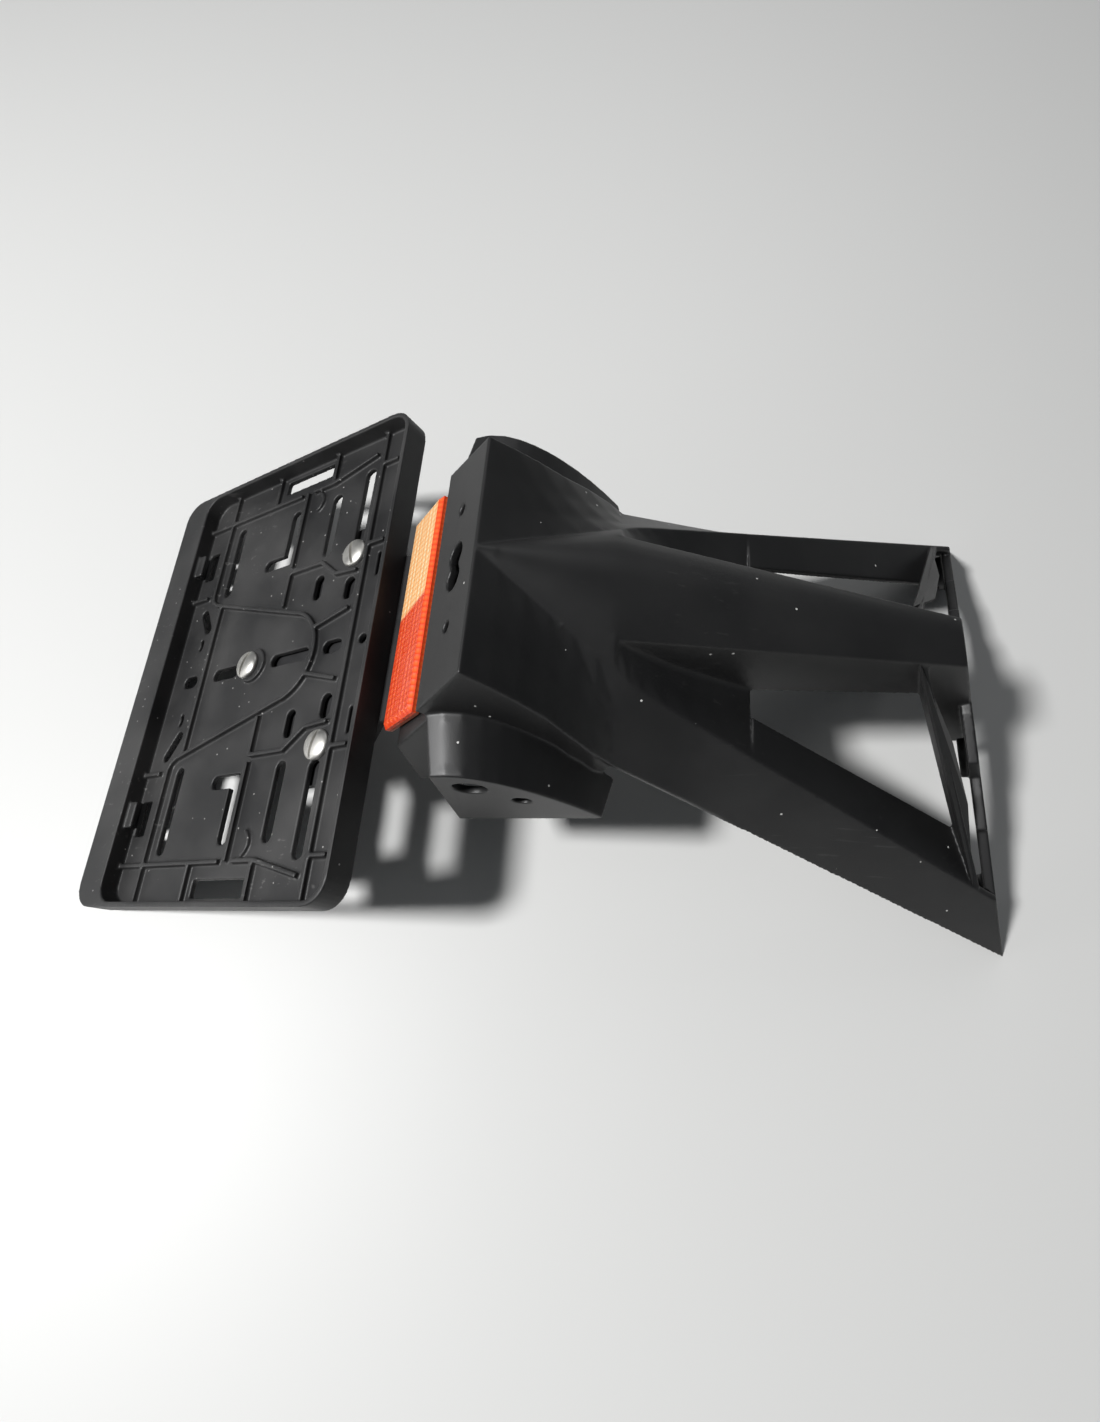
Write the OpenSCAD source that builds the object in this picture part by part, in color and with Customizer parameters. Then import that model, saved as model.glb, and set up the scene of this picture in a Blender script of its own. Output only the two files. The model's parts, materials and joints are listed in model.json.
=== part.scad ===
// Motorbike tail tidy: a three-legged moulded shell that bolts under the tail,
// with a number plate tray on a bent steel carrier and a rear reflector.
// It stands as it rests on a bench, on the tips of its side legs and the low edge of its tray.
// +X runs from the tray to the legs, Y is across the bike and +Z is up. Millimetres.

/* [Shell] */
// Wall of the moulding, measured across the bike
wall = 3; // [2.4:0.1:4]
// Width of the end face along its top edge
face_wide = 88; // [80:1:100]
// Height of the end face, above the reflector's pad
face_high = 31.5; // [28:0.5:36]
// Lean of the end face from upright
face_lean = 36; // [30:1:42]
// Height of the end face's top edge above the bench
hood_high = 144; // [138:0.5:150]
// Distance from the end face's top edge to the waist, where the legs part
hood_long = 46; // [42:1:52]
// Slope of the side walls, outwards going down
side_draft = 8; // [4:0.5:12]
// Height of the reflector's pad
pad_high = 29; // [27:0.5:36]
// Depth of the reflector's pad behind the end face
pad_recess = 5.5; // [5:0.25:8]
// Height of the rear edge below the pad
rear_drop = 26; // [18:1:32]

/* [Legs] */
// Distance from the waist to the tips of the side legs
leg_long = 167.5; // [150:0.5:185]
// Width over the tips of the side legs
tip_wide = 201; // [180:1:220]
// Width over the crests where the legs part
crest_wide = 64; // [60:1:68]
// Height of the crests where the legs part
crest_level = 110.8; // [106:0.2:114]
// Splay of a side leg's crest
crest_splay = 18.8; // [17:0.2:20]
// Fall of a side leg's crest towards its tip
crest_fall = 28.7; // [28:0.1:29.4]
// Height of the middle leg's edges at the waist
mid_level = 122.2; // [119:0.2:125]
// Width of the middle leg's top at the waist
mid_root_wide = 40.6; // [36:0.2:44]
// Width of the middle leg's top at its end
mid_end_wide = 20; // [16:0.5:26]
// Fall of the middle leg towards its end
mid_fall = 13.9; // [13:0.1:14.8]
// Crown of the middle leg's top at the waist
crown_root = 8.5; // [4:0.25:10]
// Crown of the middle leg's top at its end
crown_end = 2.5; // [1:0.25:4]
// Distance from the waist to where the windows between the legs begin
window_start = 50; // [40:1:60]
// Lean of the mounting end from upright
end_lean = 24.8; // [22:0.2:27]
// Thickness of the webs between the legs
web_thick = 2.5; // [2:0.1:4]

/* [Mounting end] */
// Thickness of the mounting flanges
flange_thick = 4; // [3:0.5:6]
// Outer diameter of the steel sleeves in the mounting holes
sleeve_d = 9; // [8:0.25:11]
// Bore of the steel sleeves
sleeve_bore = 6.4; // [5.4:0.1:7]

/* [Ears] */
// Width over the outer faces of the two ears
ear_wide = 137; // [130:1:150]
// Diameter of the indicator hole in each ear
indicator_d = 12; // [8:0.5:14]
// Diameter of the cable hole in each ear
cable_d = 7; // [5:0.5:8]

/* [Tray] */
// Length of the plate tray across the bike
tray_long = 217; // [200:1:240]
// Height of the plate tray
tray_high = 164; // [158:1:174]
// Depth of the tray from back edge to front rim
tray_deep = 11.5; // [10:0.25:14]
// Slope of the tray from level
tray_slope = 28.6; // [26:0.2:31]
// Rim of the tray on its three narrow sides
rim = 2; // [1.6:0.1:3]
// Width of the flat strip along the tray's low side
strip_wide = 16; // [12:0.5:18]
// Thickness of the tray's floor
floor_thick = 2.5; // [2:0.1:3.5]
// Depth of the recess from the rim to the floor
recess = 8; // [7:0.25:9]
// Corner radius of the tray
tray_corner = 11; // [6:0.5:14]
// Height of the ribs on the tray's floor
rib_high = 1.4; // [0.8:0.1:2]
// Thickness of the ribs on the tray's floor
rib_thick = 1.6; // [1.2:0.1:2.4]
// Width of the long slots in the floor
slot_wide = 5; // [4:0.25:6]
// Distance of the two upper screws from the tray's low edge
screw_up = 138.5; // [136:0.5:141]
// Distance between the two upper screws
screw_apart = 88; // [84:0.5:92]
// Distance of the lower screw from the tray's low edge
screw_low = 79; // [78:0.25:80]

/* [Carrier] */
// Thickness of the steel carrier
plate_thick = 3; // [2:0.25:4]
// Width of the carrier behind the tray
carrier_wide = 120; // [112:1:140]
// Width of the carrier's neck
neck_wide = 74; // [70:1:80]
// Inner bend radius of the carrier
bend_r = 4; // [3:0.5:8]
// Distance between the carrier's bolts across the bike
bolt_apart = 52; // [46:1:56]
// Distance between the two rows of the carrier's bolts
bolt_rows = 13; // [12:0.5:14]

/* [Fasteners] */
// Thread diameter of the tray screws
screw_d = 5; // [4:0.25:6]
// Head diameter of the tray screws
screw_head_d = 10.5; // [9:0.5:12]
// Thread diameter of the carrier's bolts
bolt_d = 5; // [4:0.25:6]
// Clearance of a hole round its screw, on the diameter
hole_clear = 0.5; // [0.3:0.05:1]
// Gap between pieces that seat on each other
seat_gap = 0.05; // [0.02:0.01:0.1]

/* [Reflector] */
// Length of the reflector
reflector_long = 89; // [80:0.5:92]
// Height of the reflector
reflector_high = 25; // [22:0.5:26]
// Thickness of the lens
lens_thick = 3; // [2.5:0.25:4]
// Thickness of the reflector's backing
back_thick = 1.2; // [1:0.1:2]
// Thickness of the reflector's foam tape
tape_thick = 0.8; // [0.6:0.1:1.2]

/* [Hidden] */
$fn = 48;
far = 400;
SIDES = [-1, 1];

// Lines of the shell, as functions of the distance x in front of the waist.
// Each gives the half width and the height of a point of the cross-section.
x_top = -hood_long;
x_foot = leg_long;
rear_low = 65;
lip_low = 73;
lip_long = 6;
lip_rear = 75;
waist_half = 51.4;
waist_low = 82.7;
waist_edge = [53.2, 89.4];
edge_bulge = 3.9;
crest_turn = 6.5;
apex = [0.5, hood_high - 0.1];
mid_long = leg_long - 43.5;
mid_wall = [3.4, 26.5, 19.5];
window_half = [31.3, 0.287];
draft = tan(side_draft);
mix = function (a, b, t) a + (b - a) * t;
side_y = function (z) face_wide / 2 + (hood_high - z) * draft;
low = function (x) x > 0 ? mix([waist_half, waist_low], [tip_wide / 2, 0], x / x_foot)
    : x > -lip_long ? mix([waist_half, waist_low], [side_y(lip_low), lip_low], -x / lip_long)
    : let (z = mix(lip_low, rear_low, (-x - lip_long) / (lip_rear - lip_long))) [side_y(z), z];
edge_over_low = [-1, 1.4];
edge_blend = 20;
edge_z = function (t) mix(waist_edge[1], hood_high, t) + 4 * edge_bulge * t * (1 - t);
edge = function (x) x > 0
    ? mix(waist_edge, low(window_start) + edge_over_low, min(1, x / window_start))
        + max(0, x / window_start - 1) * (low(2 * window_start) - low(window_start))
    : let (z = edge_z(min(1, -x / hood_long))) [mix(waist_edge[0], side_y(z), min(1, -x / edge_blend)), z];
crest_root = [crest_wide / 2, crest_level];
crest = function (x) x > crest_turn
    ? crest_root + (x - crest_turn) * [tan(crest_splay), -tan(crest_fall)]
    : mix(crest_root, apex, min(1, (crest_turn - x) / (crest_turn - x_top)));
mid_top = function (x) [mix(mid_root_wide, mid_end_wide, x / mid_long) / 2, mid_level - x * tan(mid_fall)];
crown = function (x) mix(crown_root, crown_end, x / mid_long);
spine_z = function (x) x > 0
    ? mid_top(x)[1] + crown(x)
    : mix(mid_level + crown_root, hood_high, min(1, -x / hood_long));
mid_wall_end = mid_long - 12;
mid_low = function (x) let (t = (x - window_start) / (mid_wall_end - window_start))
    mid_top(x) + [mid_wall[0], -mix(mid_wall[1], mid_wall[2], t)];
inner = function (x) [window_half[0] + (x - window_start) * window_half[1], crest(x)[1]];

// Point of the roof behind the waist, at a share f of the way from the spine to the crest
roof = function (x, f) [crest(x)[0] * f, spine_z(x) - (spine_z(x) - crest(x)[1]) * f * f];
notch_share = mid_root_wide / 2 / crest(0)[0];

// Foot of the middle leg's wall between the notch and the window, with a fillet to the side leg
valley_drop = mid_level - crest(0)[1];
valley_sink = crest(window_start)[1] - mid_low(window_start)[1];
valley = function (x) let (
        u = x / window_start,
        z = crest(x)[1] + valley_drop * pow(1 - u, 4) - valley_sink * u)
    [mid_top(x)[0] + mid_wall[0] * (mid_top(x)[1] - z) / mid_wall[1], z];
fillet_r = 5;
fillet_share = 0.45;
fillet_foot = 4;
fillet_reach = 1.6;
valley_ring = function (x) let (
        q = valley(x),
        top = mid_top(x),
        r = min(fillet_r, fillet_share * (top[1] - q[1])),
        side_rise = crest(x) - q,
        foot = min(r, fillet_foot),
        a = q + [foot * fillet_reach, side_rise[1] * foot * fillet_reach / side_rise[0]],
        c = mix(q, top, r / (top[1] - q[1])),
        low_turn = mix(mix(a, q, 0.6), mix(q, c, 0.4), 0.5),
        high_turn = mix(mix(a, q, 0.9), mix(q, c, 0.75), 0.6))
    [a, low_turn, high_turn, c, top];

// A point moved inwards by the wall, without crossing the middle.
// INSETS gives the share of the wall, across and down, for each point of half a ring.
moved = function (p, d) [max(p[0] - d[0], 0.6 * p[0]), p[1] - d[1]];
INSETS = [[1.2, 0], [1.1, 0.5], [0.8, 0.57], [0.8, 0.57], [0.5, 1], [0, 1], [0.3, 1],
          [0.7, 1], [1, 0.8], [1, 1], [0.75, 1], [0.5, 1], [0.25, 1], [0, 1]];

// Half of the cross-section from the lower edge to the spine, moved inwards by i
TOP_SHARES = [0.75, 0.5, 0.25, 0];
side_points = function (x) [
    low(x), edge(x), mix(edge(x), crest(x), 1 / 3), mix(edge(x), crest(x), 2 / 3), crest(x)];
notch_points = function (x) x <= 0
    ? [for (k = [4 : -1 : 0]) roof(x, mix(notch_share, 1, k / 5))]
    : valley_ring(x);
leg_top = function (x, f) [mid_top(x)[0] * f, mid_top(x)[1] + crown(x) * (1 - f * f)];
top_points = function (x) [for (f = TOP_SHARES) x <= 0 ? roof(x, notch_share * f) : leg_top(x, f)];
half_ring = function (x, i) let (ring = concat(side_points(x), notch_points(x), top_points(x)))
    [for (k = [0 : len(ring) - 1]) moved(ring[k], i * INSETS[k])];

mirrored = function (half) concat(half, [for (k = [len(half) - 2 : -1 : 0]) [-half[k][0], half[k][1]]]);
at_x = function (x, ring) [for (p = ring) [x, p[0], p[1]]];
turned = function (ring) [for (k = [len(ring) - 1 : -1 : 0]) ring[k]];
sheet = function (x, outer, inside) at_x(x, concat(outer, turned(inside)));

// Faces that close the end of a skin: strips across a sheet's wall, or the whole ring
end_faces = function (n, thin) thin
    ? [for (j = [0 : n / 2 - 2]) each [[j, j + 1, n - 2 - j], [j, n - 2 - j, n - 1 - j]]]
    : [[for (k = [0 : n - 1]) k]];

// Solid skinned over a row of rings with the same number of points
module skin(rings, thin = false) {
    n = len(rings[0]);
    last = len(rings) - 1;
    points = [for (ring = rings) for (p = ring) p];
    walls = [for (r = [0 : last - 1]) for (k = [0 : n - 1])
        let (a = r * n + k, b = r * n + (k + 1) % n)
        each [[a, b + n, b], [a, a + n, b + n]]];
    back = end_faces(n, thin);
    front = [for (face = back) [for (k = turned(face)) last * n + k]];
    polyhedron(points, concat(back, walls, front));
}

// Side view of the hood, x in front of the waist and z up.
// The end face runs down and back from face_top, then steps in to the reflector's pad.
down = [-sin(face_lean), -cos(face_lean)];
inward = [cos(face_lean), -sin(face_lean)];
face_top = [x_top, hood_high];
face_end = face_top + face_high * down;
pad_top = face_end + pad_recess * inward;
pad_end = pad_top + pad_high * down;
rear_step = 3;
rear_end = pad_end + [rear_step, -rear_drop];

// Tray: its low edge rests on the bench, and its high edge ends a short neck behind the pad
neck_back = 12.8;
tray_up = [cos(tray_slope), sin(tray_slope)];
tray_out = [-sin(tray_slope), cos(tray_slope)];
tray_foot = [pad_end[0] - neck_back - tray_high * tray_up[0], 0];
tray_lip = tray_foot + tray_deep * tray_out;

// The finished part stands on z = 0, centred in x
shift_x = -(tray_lip[0] + x_foot) / 2;
module placed() { translate([shift_x, 0, 0]) children(); }

// Frame on the end face: x up the face, z out of it, origin at its top edge
module at_face() { translate([x_top, 0, hood_high]) rotate([0, face_lean - 90, 0]) children(); }

// Frame on the mounting end: x across the bike, y up the end plane, z out of it
module at_end() { translate([x_foot, 0, 0]) rotate([0, -end_lean, 0]) rotate([90, 0, 90]) children(); }

// Frame on the tray's back: x up the tray, z out of its front, origin at its low back edge
module at_tray() { translate([tray_foot[0], 0, 0]) rotate([0, -tray_slope, 0]) children(); }

// Side view polygon made into a slab across the bike
module across(points, wide) { rotate([90, 0, 0]) linear_extrude(wide, center = true) polygon(points); }
module both_sides() { children(); mirror([0, 1, 0]) children(); }

module before_end() {
    translate([x_foot, 0, 0]) rotate([0, -end_lean, 0]) translate([-far, -far / 2, -far / 2]) cube(far);
}

// Webs: each leans and turns from the middle leg to a side leg
web_lean = 16.7;
web_turn = 14.4;
web_root = 2;
web_start = mid_long - 17;
web_inner = web_start + 28.7;
web_outer = web_start + 35.5;
module web_frame() {
    top = mid_top(web_start);
    translate([web_start, top[0], top[1]]) rotate([0, 0, -web_turn]) rotate([0, -web_lean, 0]) children();
}
module web_slab(from, to) { web_frame() translate([from, -far / 2, -far / 2]) cube([to - from, far, far]); }
module web() {
    intersection() {
        web_slab(0, web_thick);
        rotate([90, 0, 90]) linear_extrude(far) polygon([
            mid_top(web_start) - [web_root, 1],
            lug_low(web_start + 5) - [web_root, 0],
            inner(web_inner) + [1, -1],
            crest(web_outer) - [0, 1]]);
    }
}

// Side legs: an outer facet and, as far as the web, an inner one
LEG_STEPS = [window_start, 90, 130, x_foot + 12];
leg_ring = function (x) [
    low(x), edge(x), crest(x), inner(x),
    inner(x) - [0, wall], crest(x) - wall * [0.5, 1], edge(x) - wall * [1.1, 0.3], low(x) - wall * [1.2, 0]];
lip_ring = function (x, lip) [
    [inner(x)[0] - 1, crest(x)[1] + 1], [inner(x)[0] - 1, crest(x)[1] - wall - 1],
    crest(x) - [lip, wall + 1], crest(x) - [lip, -1]];
module side_leg() {
    lip = 0.8 * wall;
    difference() {
        skin([for (x = LEG_STEPS) at_x(x, leg_ring(x))], true);
        intersection() {
            skin([for (x = LEG_STEPS) at_x(x, lip_ring(x, lip))]);
            web_slab(web_thick, far);
        }
    }
}

// Middle leg: a crowned channel, whose walls go on as deep lugs past the webs
MID_STEPS = [window_start, web_start + 7, web_start + 36, web_start + 48];
lug_level = 30;
lug_draft = 0.13;
lug_share = function (x) min(1, (x - MID_STEPS[1]) / (MID_STEPS[2] - MID_STEPS[1]));
lug_low = function (x) x <= MID_STEPS[1]
    ? mid_low(x)
    : let (z = mix(mid_low(MID_STEPS[1])[1], lug_level, lug_share(x)))
      [mid_top(x)[0] + (mid_top(x)[1] - z) * lug_draft, z];
mid_ring = function (x, i) concat(
    [moved(lug_low(x), i * [1, 0]), moved(mid_top(x), i * [1, 1])],
    [for (f = TOP_SHARES) moved(leg_top(x, f), i * [f, 1])]);
module mid_leg() {
    skin([for (x = MID_STEPS) sheet(x, mirrored(mid_ring(x, 0)), mirrored(mid_ring(x, wall)))], true);
}

// Mounting flanges in the end plane, with bosses round the sleeves
end_up = 1 / cos(end_lean);
UPPER_FLANGE = [[0, 30], [0, 66], [16, 64], [34, 56], [37, 49], [44, 47], [57, 42], [50, 26], [34, 26]];
LOWER_FLANGE = [[54, 41], [80, 28], [98, 1.5], [84, 1.5], [66, 9], [56, 28]];
SLEEVES = [[27, 44], [-27, 44], [77, 17], [-77, 17]];
boss_wall = 3.5;
boss_back = 3;
sleeve_long = flange_thick + boss_back;
module at_sleeve(i) {
    at_end() translate([SLEEVES[i - 1][0], SLEEVES[i - 1][1] * end_up, -sleeve_long]) children();
}
module flanges() {
    at_end() translate([0, 0, -flange_thick]) linear_extrude(flange_thick)
        for (s = SIDES, outline = [UPPER_FLANGE, LOWER_FLANGE])
            polygon([for (p = outline) [s * p[0], p[1] * end_up]]);
    for (i = [1 : 4]) at_sleeve(i) cylinder(d = sleeve_d + 2 * boss_wall, h = sleeve_long);
}

// Ears: tapered pockets on the side walls, open below, with a flat outer face
ear_back = -58;
ear_front = -2.2;
ear_peak = -50;
ear_top = 116.7;
ear_fall = 0.049;
ear_power = 1.75;
ear_low_back = 58;
ear_low_front = 73;
ear_heart = [-31, 92];
ear_grow = 1.13;
ear_toe = 1.13;
below = 30;
ear_line = function (x) ear_top - ear_fall * pow(abs(x - ear_peak), ear_power);
ear_shape = function (i) let (back = ear_back + i, front = ear_front - i) concat(
    [[back, ear_low_back - (i > 0 ? below : 0)]],
    [for (k = [0 : 10]) let (x = mix(back, front, k / 10)) [x, ear_line(x) - i]],
    [[front - ear_toe, ear_low_front - (i > 0 ? below : 0.8)]]);
module ear(i, base) {
    shape = ear_shape(i);
    root = [for (p = shape) let (q = ear_heart + (p - ear_heart) * ear_grow) [q[0], side_y(q[1]) - base, q[1]]];
    face = [for (p = shape) [p[0], ear_wide / 2 - i, p[1]]];
    skin([root, face]);
}

// Indicator and cable holes in the ears, from the side
indicator_at = [-46.4, 103.5];
cable_at = [-30, 91.5];
module ear_hole(at, d) {
    translate([at[0], ear_wide / 2 - 2 * wall, at[1]]) rotate([-90, 0, 0]) cylinder(d = d, h = 4 * wall);
}

// Carrier's bolts: two rows in blind bosses behind the reflector's pad
boss_long = 6;
carrier_depth = pad_recess + wall + boss_long;
bolt_over_end = 18;
bolt_low = face_high + pad_high - bolt_over_end;
insert_d = bolt_d + 2;
insert_long = 7.5;
bolt_boss_d = insert_d + 5;
module at_bolt(i) {
    row = i > 2 ? 1 : 0;
    side = i % 2 == 1 ? 1 : -1;
    at_face() translate([-bolt_low + row * bolt_rows, side * bolt_apart / 2, -carrier_depth]) children();
}

// Lamp fixing in the end face: a two-lobed slot for a cable and two screw holes
lamp_hole_d = 4;
lamp_hole_apart = 45.4;
lobe_d = 9;
module at_lamp() { at_face() translate([0.5 - face_high / 2, 0, -2 * wall]) children(); }
module cable_slot() at_lamp() {
    for (s = SIDES) translate([0, s * lobe_d / 2, 0]) cylinder(d = lobe_d, h = 4 * wall);
    translate([-lobe_d / 3, -lobe_d / 2, 0]) cube([lobe_d / 1.5, lobe_d, 4 * wall]);
}
module lamp_hole() at_lamp() translate([0, lamp_hole_apart / 2, 0]) cylinder(d = lamp_hole_d, h = 4 * wall);

// The rings stand close where the shape turns, and the first lies behind the end face's foot
x_rear = -110;
HOOD_STEPS = [x_rear, x_top, -38, -30, -22, -14, -6, 0, 1.5, 5, 10, 18, 28, 40, window_start];
module hood() {
    cut = [face_top, face_end, pad_top, pad_end, rear_end,
           [rear_end[0], -far], [far, -far], [far, far], [x_top, far]];
    intersection() {
        union() {
            skin([for (x = HOOD_STEPS)
                sheet(x, mirrored(half_ring(x, 0)), mirrored(half_ring(x, wall)))], true);
            both_sides() ear(0, wall / 2);
        }
        across(cut, far);
    }
}

// The end face and the reflector's pad, closing the hood's back
module end_wall() {
    thick = wall * inward;
    corner = wall * (inward - down);
    side = [face_top, face_end, pad_top, pad_end,
            pad_end + thick, pad_top + corner, face_end + corner, face_top + thick];
    intersection() {
        skin([for (x = [x_rear, x_top, -30, -14]) at_x(x, mirrored(half_ring(x, wall / 4)))]);
        across(side, far);
    }
}

// The moulding before its bores: the skins and plates joined into one surface.
// A size of 0 keeps each length as it is.
module moulding() resize([0, 0, 0]) difference() {
    union() {
        hood();
        end_wall();
        for (i = [1 : 4]) at_bolt(i) cylinder(d = bolt_boss_d, h = boss_long + 1);
        intersection() {
            union() {
                mid_leg();
                both_sides() {
                    side_leg();
                    web();
                }
                flanges();
            }
            before_end();
        }
    }
    both_sides() ear(wall, 2.5 * wall);
    cable_slot();
}

module tail_shell() color("#1b1c1d") placed() difference() {
    moulding();
    both_sides() {
        ear_hole(indicator_at, indicator_d);
        ear_hole(cable_at, cable_d);
        lamp_hole();
    }
    for (i = [1 : 4]) {
        at_bolt(i) translate([0, 0, -1])
            cylinder(d = insert_d + 2 * seat_gap, h = insert_long + 1 + seat_gap);
        at_sleeve(i) translate([0, 0, -1]) cylinder(d = sleeve_d + 2 * seat_gap, h = sleeve_long + 2);
    }
}

// Tray features, as places on the floor: u up the tray, v across it
floor_back = tray_deep - recess - floor_thick;
floor_top = tray_deep - recess;
slot_r = slot_wide / 2;
hook_size = [5, 7, 3.5];
boss_ring = 16;
TRAY_SCREWS = [[screw_up, -screw_apart / 2], [screw_up, screw_apart / 2], [screw_low, 0]];

// Long slots across the tray: place up the tray, ends across it, width over the usual one
LONG_SLOTS = [[45, 43, 85, 1], [117, 48, 82, 1], [137, 54, 88, 1.5], [88, 54, 82, 0]];
// Other slots: start and end
SHORT_SLOTS = [[[88, 54], [75, 54]], [[116, 28], [116, 37]], [[136.5, 23], [136.5, 31]],
               [[30, 28], [36, 38]], [[143, 34], [158, 34]], [[60, 55], [60, 80]], [[128, 12], [146, 12]]];
MIDDLE_SLOTS = [[[92, 0], [117, 0]], [[50, 0], [68, 0]], [[134, -3], [134, 3]],
                [[151, -4], [151, 4]], [[33, -3], [33, 3]]];
RIBS = [[[43.5, 0], [43.5, 37]], [[36, 44], [36, 106]], [[143, 0], [143, 106]],
        [[17, 89], [108, 89]], [[108, 89], [141, 97]],
        [[67, 91], [67, 107]], [[110, 91], [110, 107]], [[94.5, 28], [94.5, 88]], [[94.5, 45], [118, 44]],
        [[118, 44], [130, 35]], [[130, 35], [143, 35]], [[119, 12], [143, 12]], [[38, 42], [108, 21]],
        [[17, 30], [43, 42]], [[143, 60], [162, 60]]];
nose_at = 103;
nose_r = 21.6;

// The places above are for a tray of this height and length, and move with its size
drawn_tray = [164, 217];
fitted = function (p) [p[0] * tray_high / drawn_tray[0], p[1] * tray_long / drawn_tray[1]];

// Windows through the floor: one at each end of the tray, and one in front of each hook
end_window = [35, 8.5];
end_window_up = 74;
end_window_edge = 3;
hook_window = [5, 18];
hook_window_gap = 4;
hook_across = 67.5;
module window(up, across, size) {
    at = [fitted([up, 0])[0], across, -1];
    translate(at) cube([size[0], size[1], tray_deep]);
}

module round_plate(from, to, half, r, low, high) {
    translate([0, 0, low]) linear_extrude(high - low) {
        translate([from + r, -half]) square([to - from - 2 * r, 2 * half]);
        translate([from, r - half]) square([to - from, 2 * (half - r)]);
        for (u = [from + r, to - r], v = SIDES) translate([u, v * (half - r)]) circle(r);
    }
}

module slot(from, to, r) {
    turn = atan2(to[1] - from[1], to[0] - from[0]);
    translate([from[0], from[1], -1]) rotate([0, 0, turn]) {
        translate([0, -r, 0]) cube([norm(to - from), 2 * r, tray_deep]);
        cylinder(r = r, h = tray_deep);
        translate([norm(to - from), 0, 0]) cylinder(r = r, h = tray_deep);
    }
}

module rib(from, to) {
    turn = atan2(to[1] - from[1], to[0] - from[0]);
    translate([from[0], from[1], floor_top - 1]) rotate([0, 0, turn])
        translate([0, -rib_thick / 2, 0]) cube([norm(to - from), rib_thick, rib_high + 1]);
}

module plate_tray() color("#232425") placed() at_tray() {
    inner_r = tray_corner - rim;
    pocket_r = strip_wide / 2 - rim - 1;
    half = tray_long / 2;
    hook_v = fitted([0, hook_across])[1];
    difference() {
        union() {
            difference() {
                round_plate(0, tray_high, half, tray_corner, 0, tray_deep);
                difference() {
                    round_plate(rim, tray_high - rim, half - rim, inner_r, floor_top, tray_deep + 1);
                    translate([0, -half, 0]) cube([strip_wide, tray_long, tray_deep]);
                }
                round_plate(rim, tray_high - rim, half - rim, inner_r, -1, floor_back);
                round_plate(rim, strip_wide - rim, half - rim, pocket_r, 0, tray_deep - floor_thick);
            }
            both_sides() for (r = RIBS) rib(fitted(r[0]), fitted(r[1]));
            translate([0, 0, floor_top - 1]) intersection() {
                difference() {
                    translate([nose_at, 0, 0]) cylinder(r = nose_r, h = rib_high + 1);
                    translate([nose_at, 0, -1]) cylinder(r = nose_r - rib_thick, h = rib_high + 3);
                }
                translate([nose_at + 5, -nose_r, 0]) cube([nose_r, 2 * nose_r, rib_high + 1]);
            }
            for (s = TRAY_SCREWS) translate([s[0], s[1], 0]) cylinder(d = boss_ring, h = floor_top);
            both_sides() translate([strip_wide - 1, hook_v - hook_size[1] / 2, floor_top]) cube(hook_size);
        }
        for (s = TRAY_SCREWS) translate([s[0], s[1], 0]) {
            translate([0, 0, -1]) cylinder(d = screw_d + hole_clear, h = tray_deep);
            translate([0, 0, floor_top]) cylinder(d = screw_head_d + 2 * hole_clear, h = tray_deep);
        }
        for (m = MIDDLE_SLOTS) slot(fitted(m[0]), fitted(m[1]), slot_r);
        both_sides() {
            for (s = LONG_SLOTS) slot(fitted([s[0], s[1]]), fitted([s[0], s[2]]), slot_r + s[3] / 2);
            for (s = SHORT_SLOTS) slot(fitted(s[0]), fitted(s[1]), slot_r);
            window(end_window_up, half - end_window_edge - end_window[1], end_window);
            translate([strip_wide + hook_window_gap, hook_v - hook_window[1] / 2, -1])
                cube([hook_window[0], hook_window[1], tray_deep]);
        }
    }
}

// Carrier: flat behind the tray, bent up to lie under the bosses of the pad
bend = 90 - face_lean - tray_slope;
face_out = [-cos(face_lean), sin(face_lean)];
bend_at = (tray_foot * face_out - face_top * face_out + carrier_depth) / sin(bend);
bend_back = bend_r * tan(bend / 2);
carrier_long = bolt_rows + 20;
carrier_foot = [screw_low - 12, 14];
foot_long = 20;
carrier_shoulder = [screw_up - 16, screw_up + 14];
shoulder_taper = 12;

// Side view of the bent neck in the tray's frame: straight, round the bend, straight again
bend_steps = 6;
neck_root = carrier_shoulder[1];
bend_centre = [bend_at - bend_back, bend_r];
bend_arc = function (r) [for (k = [0 : bend_steps])
    let (t = bend * k / bend_steps) bend_centre + r * [sin(t), -cos(t)]];
bend_tail = function (r) bend_arc(r)[bend_steps] + carrier_long * [cos(bend), sin(bend)];
neck_side = concat([[neck_root, -plate_thick], [neck_root, 0]], bend_arc(bend_r), [bend_tail(bend_r)],
    [bend_tail(bend_r + plate_thick)], turned(bend_arc(bend_r + plate_thick)));

turned_if = function (yes, list) yes ? turned(list) : list;
carrier_half = function (s) [
    [carrier_foot[0], s * carrier_foot[1]],
    [carrier_foot[0] + foot_long, s * carrier_foot[1]],
    [carrier_shoulder[0], s * carrier_wide / 2],
    [carrier_shoulder[1], s * carrier_wide / 2],
    [carrier_shoulder[1] + shoulder_taper, s * neck_wide / 2]];
module plate_carrier() color("#2a2b2d") placed() difference() {
    union() {
        at_tray() translate([0, 0, -plate_thick]) linear_extrude(plate_thick)
            polygon([for (s = SIDES) each turned_if(s < 0, carrier_half(s))]);
        at_tray() across(neck_side, neck_wide);
    }
    at_tray() for (s = TRAY_SCREWS)
        translate([s[0], s[1], -2 * plate_thick]) cylinder(d = screw_d + hole_clear, h = 3 * plate_thick);
    for (i = [1 : 4]) at_bolt(i)
        translate([0, 0, -2 * plate_thick]) cylinder(d = bolt_d + hole_clear, h = 3 * plate_thick);
}

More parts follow.
